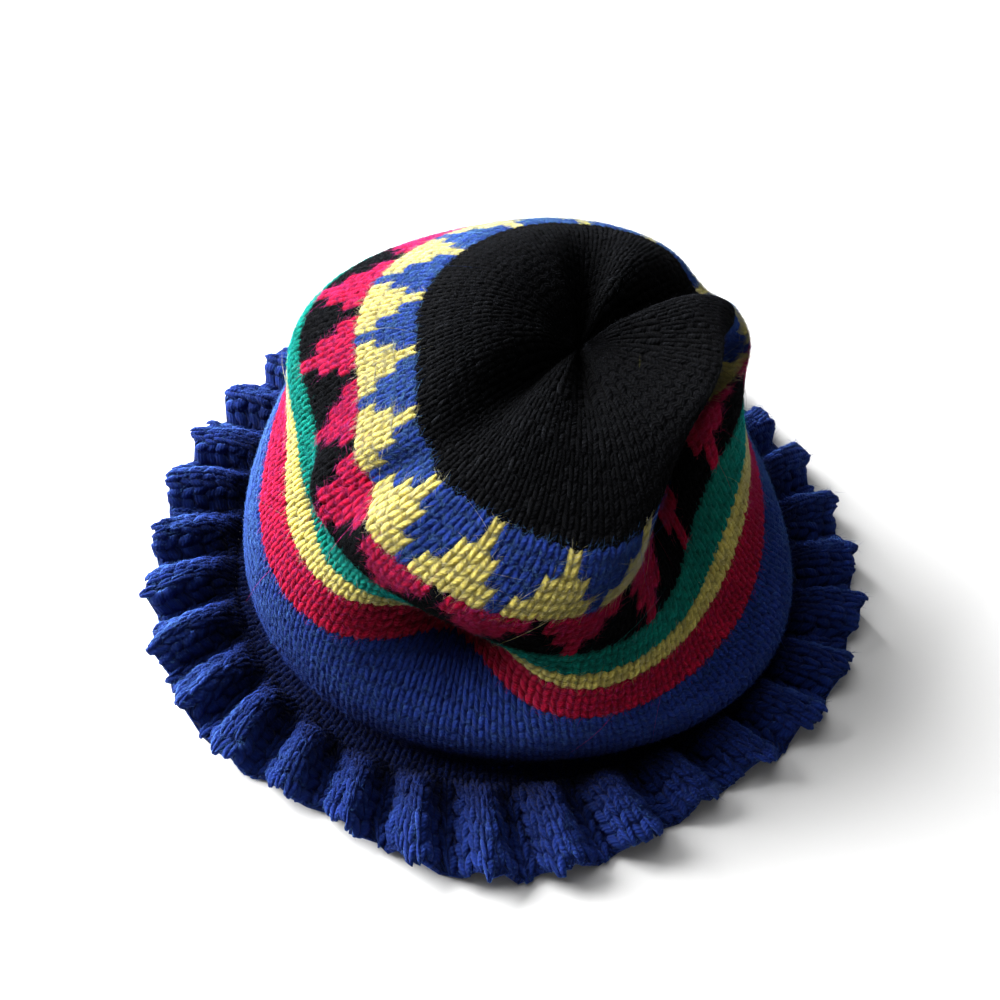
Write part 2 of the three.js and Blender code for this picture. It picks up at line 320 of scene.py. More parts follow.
def sheet_tree(sheets):
    """A search tree over grids of points that close on themselves round the hat."""
    points = []
    faces = []
    for sheet in sheets:
        rows, columns = sheet.shape[:2]
        for row in range(rows - 1):
            for column in range(columns):
                first = len(points) + row * columns
                here = first + column
                beside = first + (column + 1) % columns
                faces.append((here, beside, beside + columns, here + columns))
        points.extend(sheet.reshape(-1, 3).tolist())
    return BVHTree.FromPolygons(points, faces)


def open_share(tree, points, normals):
    """The share of rays, spread round each normal, that meet nothing."""
    side = unit(np.cross(normals, RAY_SIDE))
    ahead = np.cross(normals, side)
    starts = (points + normals * RAY_START).reshape(-1, 3).tolist()
    seen = np.zeros(len(starts))
    for number in range(RAYS):
        # The golden angle and a root spread the rays evenly over the half sphere
        turn = number * math.pi * (3 - math.sqrt(5))
        wide = math.sqrt((number + 0.5) / RAYS)
        slant = side * math.cos(turn) + ahead * math.sin(turn)
        rays = normals * math.sqrt(1 - wide**2) + wide * slant
        for index, ray in enumerate(rays.reshape(-1, 3).tolist()):
            if tree.ray_cast(starts[index], ray, RAY_REACH)[0] is None:
                # A ray that points down counts for less, as painted shade on cloth that faces down
                seen[index] += (1 if ray[2] > 0 else DOWNWARD_LIGHT) / RAYS
    return seen.reshape(points.shape[:-1])


# %% How open the cloth and the ruffle are
cloth_turns, cloth_shares = np.meshgrid(np.arange(0, 360, CLOTH_STEP), np.linspace(0, 1, CLOTH_ROWS))
cloth_sheet = cloth_point(cloth_turns, cloth_shares)
ruffle_turns = np.arange(LOBES * RUFFLE_STEP) * 360 / (LOBES * RUFFLE_STEP)
ruffle_turns, ruffle_shares = np.meshgrid(ruffle_turns, np.linspace(0, 1, RUFFLE_ROWS))
ruffle_sheet = ruffle_point(ruffle_turns, ruffle_shares)
cloth_tree = sheet_tree([cloth_sheet, ruffle_sheet])
# The open share of each point is painted into the yarn's colour as shade
cloth_open = open_share(cloth_tree, cloth_sheet, cloth_normal(cloth_turns, cloth_shares))
ruffle_open = open_share(cloth_tree, ruffle_sheet, ruffle_direction(ruffle_turns, ruffle_shares))
# The painted shade is evened out over a flute's width, so its valley is painted no darker than its
# ridge
ruffle_open = np.mean([np.roll(ruffle_open, step, axis=1) for step in range(RUFFLE_STEP)], axis=0)
ruffle_open = np.roll(ruffle_open, -RUFFLE_STEP // 2, axis=1)
# Painted shade: the seam between the ruffle and the body is made darker than the rays say, on both
# sides
ruffle_open = ruffle_open * np.clip(ROOT_LIGHT + (1 - ROOT_LIGHT) * ruffle_shares / ROOT_WIDTH, 0, 1)
cloth_open = cloth_open * np.clip(ROOT_LIGHT + (1 - ROOT_LIGHT) * cloth_shares / ROOT_RISE, 0, 1)
print("open share of the cloth", round(cloth_open.min(), 2), "to", round(cloth_open.max(), 2))
print("open share of the ruffle", round(ruffle_open.min(), 2), "to", round(ruffle_open.max(), 2))


def grid_value(grid, turn, share):
    """A value between the points of a grid of directions and shares from 0 to 1."""
    rows, columns = grid.shape
    row = np.clip(share, 0, 1) * (rows - 1.001)  # just short of the last row, which has none above
    column = (turn / 360 * columns) % columns
    low = row.astype(int)
    left = column.astype(int) % columns
    right = (left + 1) % columns
    part = column - np.floor(column)
    below = grid[low, left] * (1 - part) + grid[low, right] * part
    above = grid[low + 1, left] * (1 - part) + grid[low + 1, right] * part
    return below + (above - below) * (row - low)


# %% [markdown]
# ## Wool
#
# Brushed wool is matt, a little streaked along its fibres, and has a halo of short fibres
# that catches the light at the edges. A diffuse base with sheen gives that halo cheaply. The
# twist of the plies is a bump that runs slantwise along each leg: the yarn's own UV map
# counts round the leg in U and along it in V, so a sine of their sum winds like a thread.

# %% Yarn materials
YARN_COLOURS = {
    "royal_blue_wool": (0.011, 0.028, 0.185),
    "red_wool": (0.360, 0.005, 0.030),
    "yellow_wool": (0.580, 0.490, 0.120),
    "green_wool": (0.002, 0.150, 0.112),
    "black_wool": (0.0020, 0.0022, 0.0027),
}
PLIES = 2
PLY_TURNS = 3.0
PLY_SHARE = 0.22
PLY_BUMP = 0.00060
STREAKS_ROUND = 7.0
STREAKS_ALONG = 4.0
STREAK_SEEDS = 40.0
STREAK_CONTRAST = 0.7
HALO_PALENESS = 0.4
SHEEN = {slot: 0.05 for slot in YARN_COLOURS}
SHEEN["black_wool"] = 0.010


def add_node(tree, kind, **values):
    node = tree.nodes.new(kind)
    for name, value in values.items():
        setattr(node, name, value)
    return node


def math_node(tree, operation, *values):
    """A math node fed by numbers and by other nodes' outputs."""
    node = add_node(tree, "ShaderNodeMath", operation=operation)
    for socket, value in zip(node.inputs, values):
        if isinstance(value, (int, float)):
            socket.default_value = value
        else:
            tree.links.new(value, socket)
    return node.outputs[0]


def wool_shader(name, colour, sheen):
    """A material with the wool's settings, and its tree and shader."""
    material = bpy.data.materials.new(name)
    material.use_nodes = True
    tree = material.node_tree
    shader = tree.nodes["Principled BSDF"]
    shader.inputs["Roughness"].default_value = 0.95
    shader.inputs["Specular IOR Level"].default_value = 0.02
    shader.inputs["Sheen Weight"].default_value = sheen
    shader.inputs["Sheen Roughness"].default_value = 0.45
    halo = [HALO_PALENESS + (1 - HALO_PALENESS) * c for c in colour]
    shader.inputs["Sheen Tint"].default_value = (*halo, 1)
    shader.inputs["Subsurface Weight"].default_value = 0.7
    shader.inputs["Subsurface Radius"].default_value = (1, 1, 1)
    shader.inputs["Subsurface Scale"].default_value = 0.0020
    material.diffuse_color = (*colour, 1)
    return material, tree, shader


def shade_between(tree, shader, colour, factor, dark, light):
    """Mixes two shades of one colour by a factor that varies over the surface, then adds painted
    shade.
    """
    mix = add_node(tree, "ShaderNodeMix", data_type="RGBA")
    mix.inputs[6].default_value = (*[c * dark for c in colour], 1)
    mix.inputs[7].default_value = (*[min(1.0, c * light) for c in colour], 1)
    tree.links.new(factor, mix.inputs[0])
    # Painted shade: the colour is scaled by the brightness kept in the open attribute
    openness = add_node(tree, "ShaderNodeAttribute", attribute_name="open")
    dimmed = add_node(tree, "ShaderNodeVectorMath", operation="SCALE")
    tree.links.new(mix.outputs[2], dimmed.inputs[0])
    tree.links.new(openness.outputs["Fac"], dimmed.inputs["Scale"])
    tree.links.new(dimmed.outputs[0], shader.inputs["Base Color"])


def yarn_material(slot):
    colour = YARN_COLOURS[slot]
    material, tree, shader = wool_shader(slot + "_yarn", colour, SHEEN[slot])
    uv = add_node(tree, "ShaderNodeUVMap", uv_map="UVMap")
    parts = add_node(tree, "ShaderNodeSeparateXYZ")
    tree.links.new(uv.outputs[0], parts.inputs[0])
    winding = math_node(tree, "MULTIPLY", parts.outputs[1], PLY_TURNS)
    winding = math_node(tree, "ADD", winding, parts.outputs[0])
    winding = math_node(tree, "MULTIPLY", winding, 2 * math.pi * PLIES)
    plies = math_node(tree, "SINE", winding)
    shade = add_node(tree, "ShaderNodeAttribute", attribute_name="shade")
    streak = add_node(tree, "ShaderNodeCombineXYZ")
    tree.links.new(math_node(tree, "MULTIPLY", parts.outputs[0], STREAKS_ROUND), streak.inputs[0])
    tree.links.new(math_node(tree, "MULTIPLY", parts.outputs[1], STREAKS_ALONG), streak.inputs[1])
    tree.links.new(math_node(tree, "MULTIPLY", shade.outputs["Fac"], STREAK_SEEDS), streak.inputs[2])
    fibres = add_node(tree, "ShaderNodeTexNoise")
    fibres.inputs["Scale"].default_value = 1.0
    fibres.inputs["Detail"].default_value = 4.0
    fibres.inputs["Roughness"].default_value = 0.7
    tree.links.new(streak.outputs[0], fibres.inputs["Vector"])
    height = math_node(tree, "MULTIPLY", plies, PLY_SHARE)
    height = math_node(tree, "ADD", height, fibres.outputs[0])
    bump = add_node(tree, "ShaderNodeBump")
    bump.inputs["Strength"].default_value = 1.0
    bump.inputs["Distance"].default_value = PLY_BUMP
    tree.links.new(height, bump.inputs["Height"])
    tree.links.new(bump.outputs[0], shader.inputs["Normal"])
    factor = math_node(tree, "MULTIPLY", fibres.outputs[0], STREAK_CONTRAST)
    factor = math_node(tree, "ADD", factor, shade.outputs["Fac"])
    factor = math_node(tree, "SUBTRACT", factor, STREAK_CONTRAST / 2)
    shade_between(tree, shader, colour, factor, dark=0.70, light=1.25)
    return material


# %% The cloth's inside
PURL_ROWS = 2
PURL_BEND = 0.25
PURL_BUMP = 0.0008


def backing_material(slot):
    """The cloth between and behind the stitches, in painted shade; its inside shows rows of purl
    bumps.
    """
    colour = YARN_COLOURS[slot]
    material, tree, shader = wool_shader(slot + "_backing", colour, SHEEN[slot])
    uv = add_node(tree, "ShaderNodeUVMap", uv_map="UVMap")
    parts = add_node(tree, "ShaderNodeSeparateXYZ")
    tree.links.new(uv.outputs[0], parts.inputs[0])
    across = math_node(tree, "SINE", math_node(tree, "MULTIPLY", parts.outputs[0], 2 * math.pi))
    bent = math_node(tree, "MULTIPLY_ADD", across, PURL_BEND, parts.outputs[1])
    rows = math_node(tree, "SINE", math_node(tree, "MULTIPLY", bent, 2 * math.pi * PURL_ROWS))
    bump = add_node(tree, "ShaderNodeBump")
    bump.inputs["Strength"].default_value = 1.0
    bump.inputs["Distance"].default_value = PURL_BUMP
    tree.links.new(rows, bump.inputs["Height"])
    tree.links.new(bump.outputs[0], shader.inputs["Normal"])
    # Painted shade: darker between the rows of purl bumps, and darker in all than the stitches' yarn
    factor = math_node(tree, "MULTIPLY_ADD", rows, 0.5, 0.5)
    shade_between(tree, shader, colour, factor, dark=0.45, light=0.85)
    return material


yarns = {slot: yarn_material(slot) for slot in YARN_COLOURS}
backings = {slot: backing_material(slot) for slot in YARN_COLOURS}
print(len(yarns), "yarns")

# %% [markdown]
# ## One stitch
#
# On the right side of stocking stitch each stitch shows as a V of two plump legs. A leg
# starts deep between the legs of the stitch below, swells over the surface and dives under
# the stitch above. The leg is a small grid of faces rolled into a tube and squeezed ring by
# ring: a curve with a bevel would do the same, but a grid gives the UV map for the plies.
# Stitch units are used: X counts stitches, Y counts rounds, and Z is a depth in metres.

# %% The leg and the V
LEG_SIDES = 4
YARN_RADIUS = 0.0007
TUBE_WELD = 1e-6
LEG_COLUMNS = [(name, float) for name in ("up", "across", "depth", "swell")]
LEG = np.array([
    (-0.15, 0.11, 0.0015, 0.50),
    (0.22, 0.18, 0.0008, 1.02),
    (0.70, 0.27, 0.0006, 1.12),
    (1.12, 0.34, 0.0009, 0.95),
    (1.42, 0.38, 0.0015, 0.48),
], dtype=LEG_COLUMNS)
LEG_HALF_WIDTH = 0.260


def rolled_tube(sides, rings, place):
    """A closed tube from a rolled grid. place(ring, angle) gives each point."""
    bm = bmesh.new()
    bm.loops.layers.uv.new("UVMap")
    bmesh.ops.create_grid(bm, x_segments=sides, y_segments=rings - 1, size=0.5, calc_uvs=True)
    for vert in bm.verts:
        ring = round((vert.co.y + 0.5) * (rings - 1))
        angle = 2 * math.pi * (vert.co.x + 0.5)
        vert.co = place(ring, angle)
    bmesh.ops.remove_doubles(bm, verts=bm.verts, dist=TUBE_WELD)
    bmesh.ops.holes_fill(bm, edges=bm.edges, sides=sides)
    bmesh.ops.recalc_face_normals(bm, faces=bm.faces)
    for face in bm.faces:
        face.smooth = True
    return bm


def leg_place(ring, angle):
    station = LEG[ring]
    across = station["across"] + LEG_HALF_WIDTH * station["swell"] * math.cos(angle)
    height = YARN_RADIUS * station["swell"] * math.sin(angle) - station["depth"]
    return Vector((across, station["up"], height))


def stitch_mesh():
    """A V in its cell: the leg, and its mirror image in the middle of the column."""
    bm = rolled_tube(LEG_SIDES, len(LEG), leg_place)
    bmesh.ops.mirror(bm, geom=bm.verts[:] + bm.edges[:] + bm.faces[:], matrix=Matrix.Identity(4),
                     merge_dist=-1, axis="X")
    bmesh.ops.recalc_face_normals(bm, faces=bm.faces)
    bmesh.ops.translate(bm, verts=bm.verts, vec=(0.5, 0, 0))
    return bm


stitch = stitch_mesh()
STITCH_POINTS = len(stitch.verts)
print("a stitch has", STITCH_POINTS, "points and", len(stitch.faces), "faces")

# %% [markdown]
# ## Flat knitting from a chart
#
# A knitter's chart has a letter for each stitch, bottom round first. One repeat of the chart
# is made by copying the stitch, and two Array modifiers then repeat it round the hat and
# upwards. The cloth behind is a thin slab with the same cells, so each yarn has its own.

# %% Knitting flat
BACKING_TOP = 0.0011
PLAIN_CHART = ["k"]


def as_mesh(bm, name):
    mesh = bpy.data.meshes.new(name)
    bm.to_mesh(mesh)
    bm.free()
    return mesh


def arrayed(mesh, width, across, height, up):
    """The mesh repeated across and upwards by Array modifiers, which are then applied."""
    block = bpy.data.objects.new("block", mesh)
    bpy.context.scene.collection.objects.link(block)
    for count, offset in ((across, (width, 0, 0)), (up, (0, height, 0))):
        array = block.modifiers.new("repeat", "ARRAY")
        array.use_relative_offset = False
        array.use_constant_offset = True
        array.constant_offset_displace = offset
        array.count = count
    graph = bpy.context.evaluated_depsgraph_get()
    repeated = bpy.data.meshes.new_from_object(block.evaluated_get(graph), depsgraph=graph)
    bpy.data.objects.remove(block)
    return repeated


def charted_stitches(chart, letter):
    """The stitches of one yarn in one repeat of a chart."""
    bm = bmesh.new()
    bm.loops.layers.uv.new("UVMap")
    single = bpy.data.meshes.new("single")
    stitch.to_mesh(single)
    for row, letters in enumerate(chart):
        for column, found in enumerate(letters):
            if found == letter:
                first = len(bm.verts)
                bm.from_mesh(single)
                bm.verts.ensure_lookup_table()
                bmesh.ops.translate(bm, verts=bm.verts[first:], vec=(column, row, 0))
    return bm


def charted_patch(chart, letter):
    """The cells of one yarn in one repeat, as flat faces for the cloth behind the stitches."""
    width = len(chart[0])
    bm = bmesh.new()
    bm.loops.layers.uv.new("UVMap")
    bmesh.ops.create_grid(bm, x_segments=width, y_segments=len(chart), size=0.5)
    for vert in bm.verts:
        vert.co = ((vert.co.x + 0.5) * width, (vert.co.y + 0.5) * len(chart), 0)
    others = []
    for face in bm.faces:
        middle = face.calc_center_median()
        if chart[int(middle.y)][int(middle.x)] != letter:
            others.append(face)
    bmesh.ops.delete(bm, geom=others, context="FACES")
    return bm


# %% [markdown]
# ## Wrapping the knitting onto the form
#
# Each point of the flat knitting has a place across, a place up and a depth. Wrapping reads
# them as a direction, a share of the way up and a distance into the wall. No two stitches
# of a handmade hat are quite alike, so each is first nudged a little and gets its own shade.

# %% Wrapping the stitches
rng = np.random.default_rng(7)
NUDGE_ACROSS = 0.03
NUDGE_UP = 0.05
NUDGE_DEPTH = 0.00008
MIDDLE_SHADE = 0.5
SHADE_SPREAD = 0.12
# How much painted shade the deep ends of a leg get
DEEP_SHADE = 0.25
BACKING_SHADE = 0.3
# How dark the painted shade gets where no ray gets out, and how steeply it falls
CLOSED_SHADE = 0.08
FOLD_CONTRAST = 1.6
Wrap = namedtuple("Wrap", ["point", "open"])


def mesh_points(mesh):
    points = np.empty(len(mesh.vertices) * 3)
    mesh.vertices.foreach_get("co", points)
    return points.reshape(-1, 3)


def set_points(mesh, points):
    mesh.vertices.foreach_set("co", points.astype(np.float32).ravel())
    mesh.update()


def add_shades(mesh, shades, openness):
    """Gives each point its yarn's shade, and how much of its colour the painted shade leaves it."""
    brightness = CLOSED_SHADE + (1 - CLOSED_SHADE) * openness**FOLD_CONTRAST
    for name, values in (("shade", np.clip(shades, 0, 1)), ("open", brightness)):
        attribute = mesh.attributes.new(name, "FLOAT", "POINT")
        attribute.data.foreach_set("value", values.astype(np.float32))


def wrapped_stitches(mesh, wrap, swell=1.0, uneven=1.0):
    """Nudges, shades and wraps the stitches, which come one after another in the mesh."""
    points = mesh_points(mesh)
    owner = np.arange(len(points)) // STITCH_POINTS
    stitches = owner[-1] + 1
    depth = -points[:, 2] * swell + rng.normal(0, NUDGE_DEPTH * uneven, stitches)[owner]
    across = points[:, 0] + rng.normal(0, NUDGE_ACROSS * uneven, stitches)[owner]
    up = points[:, 1] + rng.normal(0, NUDGE_UP * uneven, stitches)[owner]
    shades = MIDDLE_SHADE + rng.normal(0, SHADE_SPREAD, stitches)[owner]
    # Painted shade: the ends of a leg that dive under other stitches are made darker
    shades = shades - DEEP_SHADE * np.clip((depth - YARN_RADIUS) / YARN_RADIUS, 0, 1)
    add_shades(mesh, shades, wrap.open(across, up))
    set_points(mesh, wrap.point(across, up, depth))
    return mesh


# %% Wrapping the cloth behind
SLAB_WELD = 2e-5


def wrapped_slab(mesh, wrap, top, bottom):
    """The cloth behind the stitches: flat faces wrapped, welded round the hat and extruded."""
    bm = bmesh.new()
    bm.from_mesh(mesh)
    flat = bm.verts.layers.float_vector.new("flat")
    uv = bm.loops.layers.uv["UVMap"]
    for face in bm.faces:
        face.smooth = True
        face.material_index = 1
        for loop in face.loops:
            loop[uv].uv = loop.vert.co.xy
    for vert in bm.verts:
        vert[flat] = vert.co
    move_layer(bm.verts, flat, wrap, top)
    bmesh.ops.remove_doubles(bm, verts=bm.verts, dist=SLAB_WELD)
    inside = bmesh.ops.extrude_face_region(bm, geom=bm.faces[:])
    inner = [item for item in inside["geom"] if isinstance(item, bmesh.types.BMVert)]
    move_layer(inner, flat, wrap, bottom)
    bmesh.ops.recalc_face_normals(bm, faces=bm.faces)
    places = np.array([vert[flat][:] for vert in bm.verts])
    bm.verts.layers.float_vector.remove(flat)
    bm.to_mesh(mesh)
    bm.free()
    add_shades(mesh, np.full(len(places), BACKING_SHADE), wrap.open(places[:, 0], places[:, 1]))
    return mesh


def move_layer(verts, flat, wrap, depth):
    verts = list(verts)
    places = np.array([vert[flat][:] for vert in verts])
    points = wrap.point(places[:, 0], places[:, 1], np.full(len(places), depth))
    for vert, point in zip(verts, points):
        vert.co = point


# %% A finished piece of knitting
def joined_piece(name, meshes, materials):
    """One object from several meshes, at the origin."""
    bm = bmesh.new()
    for mesh in meshes:
        bm.from_mesh(mesh)
        bpy.data.meshes.remove(mesh)
    whole = as_mesh(bm, name)
    for material in materials:
        whole.materials.append(material)
    piece = bpy.data.objects.new(name, whole)
    bpy.context.scene.collection.objects.link(piece)
    return piece


def triangles(piece):
    return sum(len(polygon.vertices) - 2 for polygon in piece.data.polygons)


def knit(name, slot, chart, letter, across, up, wrap, swell=1.0, uneven=1.0, bottom=WALL):
    """A piece of knitting in one yarn: its stitches and the cloth behind them."""
    width = len(chart[0])
    stitches = arrayed(as_mesh(charted_stitches(chart, letter), name), width, across, len(chart), up)
    wrapped_stitches(stitches, wrap, swell, uneven)
    slab = arrayed(as_mesh(charted_patch(chart, letter), name), width, across, len(chart), up)
    wrapped_slab(slab, wrap, BACKING_TOP * swell, bottom)
    piece = joined_piece(name, [stitches, slab], [yarns[slot], backings[slot]])
    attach(piece, "root")
    print(name, triangles(piece), "triangles")
    return piece


# %% Where a section's stitches lie
PATTERN_TURN = -12.0
LOWEST_SHARE = -0.006


def round_the_hat(columns, first_round):
    """The wrap of a section of the tube that has this many stitches to a round."""
    def direction(across):
        return PATTERN_TURN + 360 * across / columns

    def share(up):
        return np.clip((first_round + up) / ROUNDS, LOWEST_SHARE, 1.0)

    def point(across, up, depth):
        turn = direction(across)
        along = share(up)
        place = cloth_point(turn, along) - wall_direction(turn, along) * depth[:, None]
        return place - MIDDLE

    def openness(across, up):
        return grid_value(cloth_open, direction(across), share(up))

    return Wrap(point, openness)


# %% [markdown]
# ## The body and the stripes
#
# The plain sections need a chart of one stitch. Their stitch counts fall towards the crown,
# as a knitter decreases, so that a stitch stays about four and a half millimetres wide.

# %% Plain sections
PLAIN_SECTIONS = [
    ("body", "royal_blue_wool", 132, 0, BODY_ROUNDS),
    ("red_stripe", "red_wool", 120, 13, 4),
    ("yellow_stripe", "yellow_wool", 114, 17, 2),
    ("green_stripe", "green_wool", 108, 19, 3),
]
for node, slot, columns, first_round, rounds in PLAIN_SECTIONS:
    wrap = round_the_hat(columns, first_round)
    section = knit(node + "_knitting", slot, PLAIN_CHART, "k", columns, rounds, wrap)
    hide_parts(node)

# %% [markdown]
# ## The triangle bands
#
# Two yarns are carried along together, and the chart says which one shows. Six stitches
# repeat sixteen times. Red triangles stand on their tips over the green stripe, and yellow
# ones point up into the crown.

# %% Charted bands
BAND_COLUMNS = 96
RED_ON_BLACK = ["kkkkkr", "kkkkkr", "rkkkrr", "rkkkrr", "rrkrrr", "rrkrrr"]
YELLOW_ON_BLUE = ["yyyyyb", "yyyyyb", "byyybb", "byyybb", "bbybbb", "bbybbb"]
BANDS = [
    ("red_triangles", "red_wool", RED_ON_BLACK, "r", 22, "red_black_band"),
    ("black_ground", "black_wool", RED_ON_BLACK, "k", 22, None),
    ("yellow_triangles", "yellow_wool", YELLOW_ON_BLUE, "y", 28, "yellow_blue_band"),
    ("blue_ground", "royal_blue_wool", YELLOW_ON_BLUE, "b", 28, None),
]
for name, slot, chart, letter, first_round, node in BANDS:
    repeats = BAND_COLUMNS // len(chart[0])
    band = knit(name, slot, chart, letter, repeats, 1, round_the_hat(BAND_COLUMNS, first_round))
    if node:
        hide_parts(node)

# %% [markdown]
# ## The crown
#
# The black crown is drawn together at the gather. A knitter works two stitches together on
# some rounds, so the crown is three tubes of fewer and fewer columns.

# %% Crown
CROWN_COLUMNS = 96
CROWN_START = 34
CROWN_BACKING = BACKING_TOP * 0.5
CROWN_TUBES = [
    (CROWN_COLUMNS, CROWN_START, 6, 0.55),
    (64, 40, 4, 0.50),
    (32, 44, 6, 0.50),
]
crown_parts = []
for columns, first_round, rounds, swell in CROWN_TUBES:
    wrap = round_the_hat(columns, first_round)
    stitches = arrayed(as_mesh(charted_stitches(PLAIN_CHART, "k"), "crown"), 1, columns, 1, rounds)
    crown_parts.append(wrapped_stitches(stitches, wrap, swell))
crown_slab = as_mesh(charted_patch(PLAIN_CHART, "k"), "crown")
crown_slab = arrayed(crown_slab, 1, CROWN_COLUMNS, 1, ROUNDS - CROWN_START)
crown_wrap = round_the_hat(CROWN_COLUMNS, CROWN_START)
crown_parts.append(wrapped_slab(crown_slab, crown_wrap, CROWN_BACKING, WALL))
crown = joined_piece("crown_knitting", crown_parts, [yarns["black_wool"], backings["black_wool"]])
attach(crown, "root")
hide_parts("crown")
print("crown_knitting", triangles(crown), "triangles")

# %% [markdown]
# ## The ruffle
#
# The ruffle has six columns of stitches to a flute, far more than the body, and the spare
# length is what makes it wave. The same knitting is wrapped over its flutes, from the edge
# inwards, as the knitter cast it on, and its last round is tucked under the body.

# %% Ruffle
RUFFLE_COLUMNS = 192
RUFFLE_ROUNDS = 7
TUCKED_ROUNDS = 0.25
FARTHEST_IN = -0.12
FARTHEST_OUT = 1.05
RUFFLE_SWELL = 1.2
RUFFLE_UNEVENNESS = 3.0
RUFFLE_BACKING = 0.0036


def ruffle_place(across, up):
    """The direction and the share of the way out where a place in the flat ruffle ends up."""
    turn = FLUTE_TURN + 360 * across / RUFFLE_COLUMNS
    out = 1 - up / (RUFFLE_ROUNDS - TUCKED_ROUNDS)
    return turn, np.clip(out, FARTHEST_IN, FARTHEST_OUT)


def ruffle_stitch_point(across, up, depth):
    turn, out = ruffle_place(across, up)
    place = ruffle_point(turn, out) - ruffle_direction(turn, out) * depth[:, None] - MIDDLE
    place[:, 2] = np.maximum(place[:, 2], 0)
    return place


def ruffle_openness(across, up):
    return grid_value(ruffle_open, *ruffle_place(across, up))


over_the_ruffle = Wrap(ruffle_stitch_point, ruffle_openness)
ruffle = knit("ruffle_knitting", "royal_blue_wool", PLAIN_CHART, "k", RUFFLE_COLUMNS, RUFFLE_ROUNDS,
              over_the_ruffle, RUFFLE_SWELL, RUFFLE_UNEVENNESS, RUFFLE_BACKING)
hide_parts("ruffle")

# %% [markdown]
# ## Fuzz
#
# The yarn has mohair in it, so short fibres stand off every stitch and blur the line between
# two colours, and a few long ones lie across the folds. A hair system would have to be turned
# into a mesh before it leaves Blender, so one thin tapered fibre is modelled instead, repeated
# by an Array modifier, and each copy is then bent over the stitch that it grows from.

# %% One fibre and its copies
FIBRE_SIDES = 3
FIBRE_RADIUS = 0.00006
FIBRE_LENGTHS = (0.5, 1.5)
FIBRE_LIFTS = (0.15, 0.9)
FIBRE_DROOP = 0.7
FIBRE_CURL = 0.35
FIBRE_SHADE = 0.55
FIBRE_SHADE_SPREAD = 0.2
ROOT_DEPTH = 0.0002
ROOT_STEP = 0.05
STITCH_REACH = 1.3
Fibre = namedtuple("Fibre", ["length", "rings"])
FUZZ = Fibre(0.0030, 2)
STRAY = Fibre(0.016, 6)


def fibres(count, rings):
    """Straight pointed fibres along Y, all in one place, to be spread by numpy."""
    def place(ring, angle):
        share = ring / (rings - 1)
        thick = 1 - share
        return Vector((thick * math.cos(angle), share, thick * math.sin(angle)))
    single = as_mesh(rolled_tube(FIBRE_SIDES, rings, place), "fibres")
    return arrayed(single, 0, count, 0, 1), len(single.vertices)


def grown_fibres(roots, across, rise, openness, lengths, lift, rings):
    """Fibres that leave their roots at a random heading, lift off the cloth and curl over."""
    count = len(roots)
    mesh, fibre_points = fibres(count, rings)
    points = mesh_points(mesh)
    owner = np.arange(len(points)) // fibre_points
    heading = rng.uniform(0, 2 * math.pi, count)[:, None]
    outward = unit(np.cross(across, rise))
    along = unit(across) * np.cos(heading) + unit(rise) * np.sin(heading)
    side = np.cross(outward, along)
    share = points[:, 1:2]
    bow = (FIBRE_CURL * rng.uniform(-1, 1, count))[owner, None] * share**2
    swing = lift[owner, None] * share * (1 - FIBRE_DROOP * share)
    reach = along[owner] * share + side[owner] * bow + outward[owner] * swing
    middle = roots[owner] + lengths[owner, None] * reach
    middle[:, 2] = np.maximum(middle[:, 2], FIBRE_RADIUS)
    spread = side[owner] * points[:, 0:1] + outward[owner] * points[:, 2:3]
    set_points(mesh, middle + spread * FIBRE_RADIUS)
    shades = FIBRE_SHADE + rng.normal(0, FIBRE_SHADE_SPREAD, count)
    add_shades(mesh, shades[owner], openness[owner])
    return mesh


def fuzz_of(chart, letter, columns, rounds, wrap, per_stitch, fibre=FUZZ):
    """Fibres of one kind on the stitches of one yarn. Long ones lift off less for their length."""
    cells = np.array([
        (column, row)
        for row, letters in enumerate(chart)
        for column, found in enumerate(letters)
        if found == letter
    ], dtype=float)
    stitches = len(cells) * columns * rounds // (len(chart) * len(chart[0]))
    count = int(stitches * per_stitch)
    picked = cells[rng.integers(0, len(cells), count)]
    across = picked[:, 0] + len(chart[0]) * rng.integers(0, columns // len(chart[0]), count)
    up = picked[:, 1] + len(chart) * rng.integers(0, rounds // len(chart), count)
    across = across + rng.uniform(0, 1, count)
    up = up + rng.uniform(0, STITCH_REACH, count)
    depth = np.full(count, ROOT_DEPTH)
    roots = wrap.point(across, up, depth)
    side = wrap.point(across + ROOT_STEP, up, depth) - roots
    rise = wrap.point(across, up + ROOT_STEP, depth) - roots
    lengths = fibre.length * rng.uniform(*FIBRE_LENGTHS, count)
    lift = rng.uniform(*FIBRE_LIFTS, count) * min(1, 2 * FUZZ.length / fibre.length)
    return grown_fibres(roots, side, rise, wrap.open(across, up), lengths, lift, fibre.rings)


def fuzz_piece(name, slot, meshes):
    piece = joined_piece(name, meshes, [yarns[slot]])
    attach(piece, "root")
    print(name, triangles(piece), "triangles")


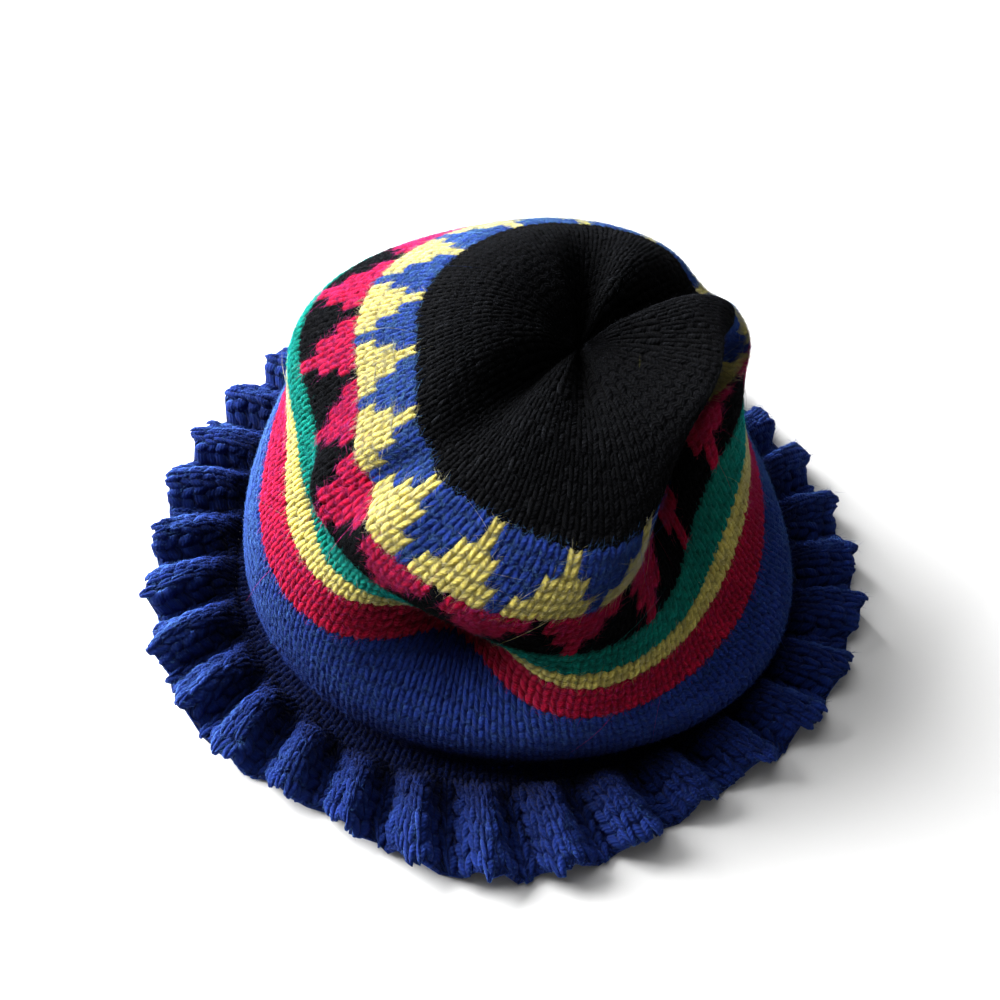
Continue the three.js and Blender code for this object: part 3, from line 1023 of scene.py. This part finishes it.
# %% Fuzz on every section
FUZZ_PER_STITCH = 18.0
BAND_FUZZ = 44.0
RUFFLE_FUZZ = 12.0
CROWN_FUZZ = 6.0
STRAYS_PER_STITCH = 0.07
BAND_STRAYS = 3 * STRAYS_PER_STITCH
fuzz = {slot: [] for slot in YARN_COLOURS}
for node, slot, columns, first_round, rounds in PLAIN_SECTIONS:
    wrap = round_the_hat(columns, first_round)
    for per_stitch, fibre in ((FUZZ_PER_STITCH, FUZZ), (STRAYS_PER_STITCH, STRAY)):
        fuzz[slot].append(fuzz_of(PLAIN_CHART, "k", columns, rounds, wrap, per_stitch, fibre))
for name, slot, chart, letter, first_round, node in BANDS:
    wrap = round_the_hat(BAND_COLUMNS, first_round)
    for per_stitch, fibre in ((BAND_FUZZ, FUZZ), (BAND_STRAYS, STRAY)):
        fuzz[slot].append(fuzz_of(chart, letter, BAND_COLUMNS, len(chart), wrap, per_stitch, fibre))
for columns, first_round, rounds, swell in CROWN_TUBES:
    wrap = round_the_hat(columns, first_round)
    fuzz["black_wool"].append(fuzz_of(PLAIN_CHART, "k", columns, rounds, wrap, CROWN_FUZZ))
for slot, meshes in fuzz.items():
    fuzz_piece(slot.replace("wool", "fuzz"), slot, meshes)
ruffle_fuzz = fuzz_of(PLAIN_CHART, "k", RUFFLE_COLUMNS, RUFFLE_ROUNDS, over_the_ruffle, RUFFLE_FUZZ)
fuzz_piece("ruffle_fuzz", "royal_blue_wool", [ruffle_fuzz])

# %% [markdown]
# ## Floor, light and camera
#
# The photograph looks down on the hat from the front. A large soft light from the back left
# models the stitches and leaves the front and the right in shade. A weak light from above and
# a pale world keep that side readable.

# %% Floor
FLOOR_SHADE = 0.62
bpy.ops.mesh.primitive_plane_add(size=8)
floor = bpy.context.object
floor.name = "floor"
floor_material = bpy.data.materials.new("pale floor")
floor_material.use_nodes = True
floor_shader = floor_material.node_tree.nodes["Principled BSDF"]
floor_shader.inputs["Base Color"].default_value = (*[FLOOR_SHADE] * 3, 1)
floor_shader.inputs["Roughness"].default_value = 0.9
floor.data.materials.append(floor_material)
floor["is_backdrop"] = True


# %% Lights
LIGHT_AIM = Vector((0, 0, 0.04))
WORLD_LIGHT = 0.18


def soft_light(name, place, size, power):
    light = bpy.data.lights.new(name, "AREA")
    light.size = size
    light.energy = power
    lamp = bpy.data.objects.new(name, light)
    lamp.location = place
    aim = LIGHT_AIM - Vector(place)
    lamp.rotation_euler = aim.to_track_quat("-Z", "Y").to_euler()
    bpy.context.scene.collection.objects.link(lamp)


soft_light("key", (-1.05, 0.65, 0.66), size=1.4, power=160)
soft_light("top", (-0.3, 0.2, 1.5), size=1.2, power=11)
world = bpy.data.worlds.new("studio")
world.use_nodes = True
world.node_tree.nodes["Background"].inputs["Color"].default_value = (1, 1, 1, 1)
world.node_tree.nodes["Background"].inputs["Strength"].default_value = WORLD_LIGHT
bpy.context.scene.world = world
bpy.context.scene.view_settings.view_transform = "Standard"

# %% Camera
VIEW_ELEVATION = math.radians(50)
VIEW_DISTANCE = 0.650
PIXELS_PER_METRE = 2700
IMAGE_SIZE = 1000
SENSOR_WIDTH = 36
AIM = Vector((-0.0011, 0.0167, 0.0141)) - Vector(MIDDLE)

camera_data = bpy.data.cameras.new("camera")
camera_data.sensor_width = SENSOR_WIDTH
camera_data.lens = PIXELS_PER_METRE * VIEW_DISTANCE / IMAGE_SIZE * SENSOR_WIDTH
camera = bpy.data.objects.new("camera", camera_data)
backwards = Vector((0, -math.cos(VIEW_ELEVATION), math.sin(VIEW_ELEVATION)))
camera.location = AIM + backwards * VIEW_DISTANCE
camera.rotation_euler = (-backwards).to_track_quat("-Z", "Y").to_euler()
bpy.context.scene.collection.objects.link(camera)
bpy.context.scene.camera = camera
print("camera", [round(value, 3) for value in camera.location])
print("lens", round(camera_data.lens, 1), "mm")

# %% Size
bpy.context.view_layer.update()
print("triangles in all:", sum(triangles(piece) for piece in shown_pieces()))
